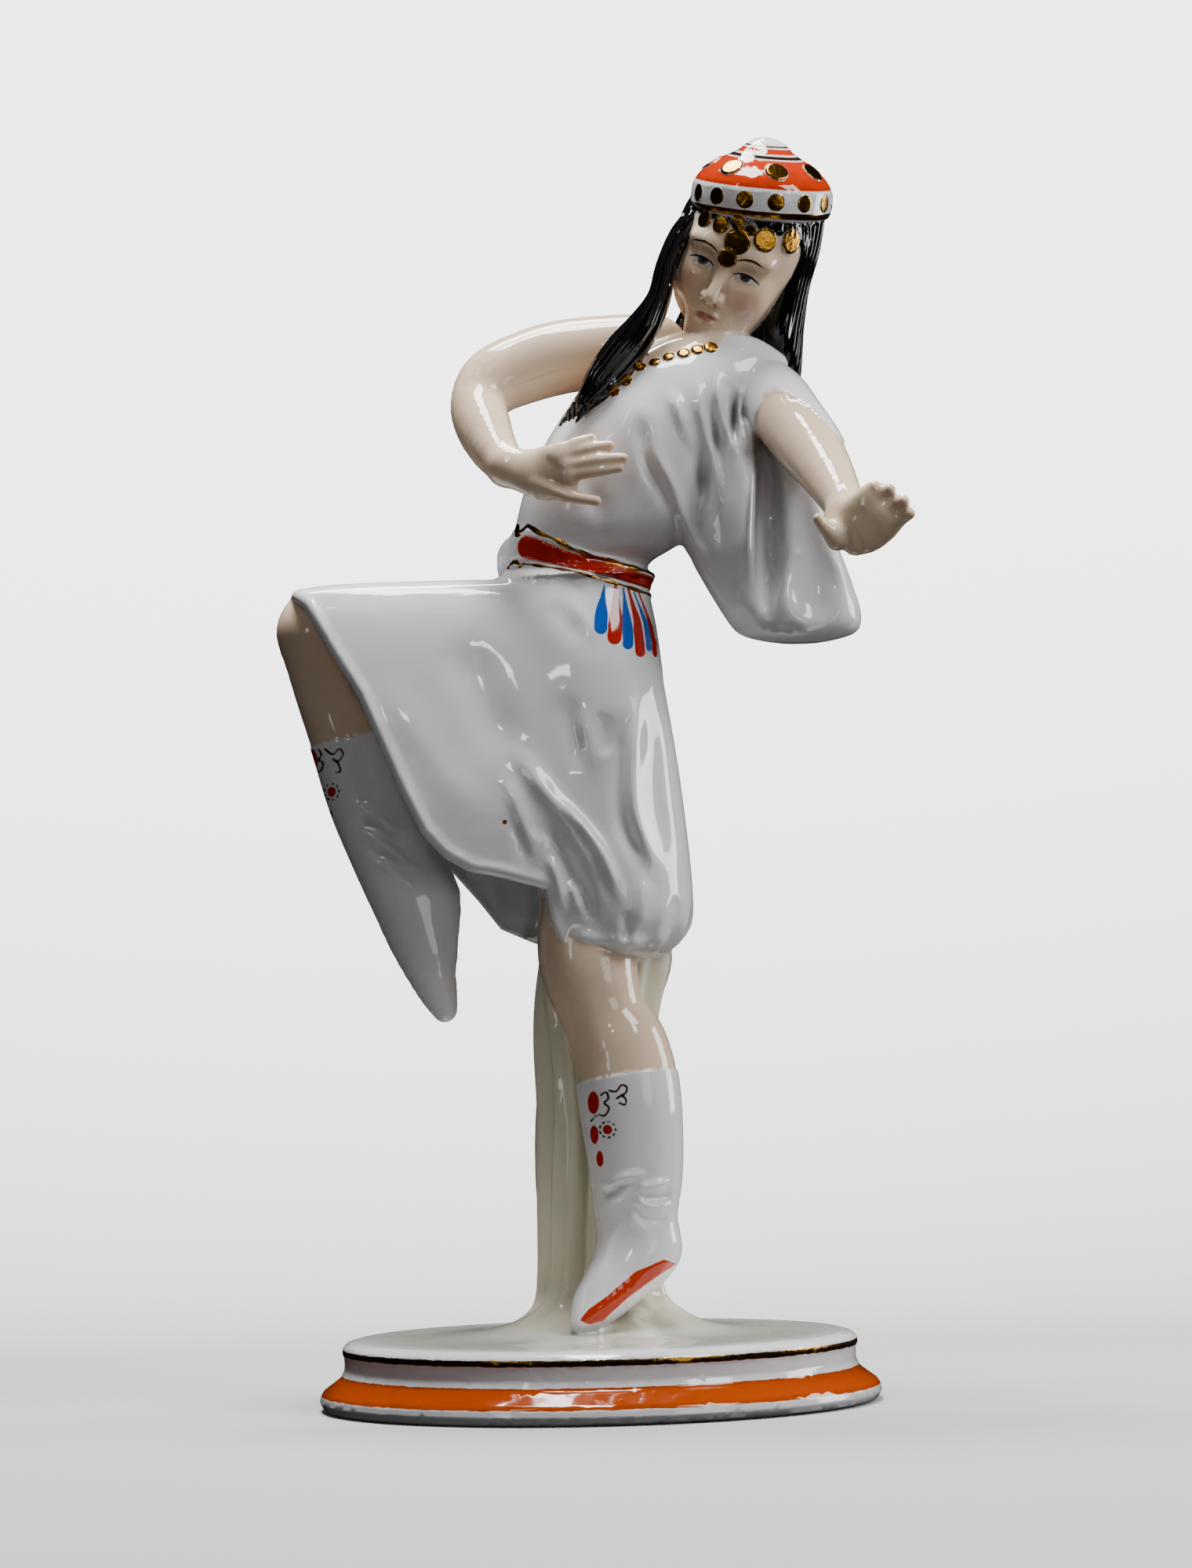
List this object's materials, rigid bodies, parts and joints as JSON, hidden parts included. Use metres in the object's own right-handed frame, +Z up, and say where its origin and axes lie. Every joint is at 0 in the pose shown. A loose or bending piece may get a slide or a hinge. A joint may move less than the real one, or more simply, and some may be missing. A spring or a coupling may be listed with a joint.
{
  "type": "dancer figurine",
  "caption": "Glazed porcelain figurine of a dancer on tiptoe, one leg raised under a flared tunic, in a round cap and wide sleeve, propped by a stump on a turned round plinth.",
  "frame": {"origin": "centre of the plinth's flat underside", "axes": "+Z up, along the figure's height; -Y towards the viewer of the front; +X to the viewer's right, where the sleeved arm reaches"},
  "size_m": [0.1272, 0.114, 0.2575],
  "materials": {
    "glazed_porcelain": "gloss clear glaze over white body, hand painted under and over the glaze, with bright gold"
  },
  "bodies": {
    "root": {"dancer_figurine": "glazed_porcelain"}
  },
  "joints": []
}
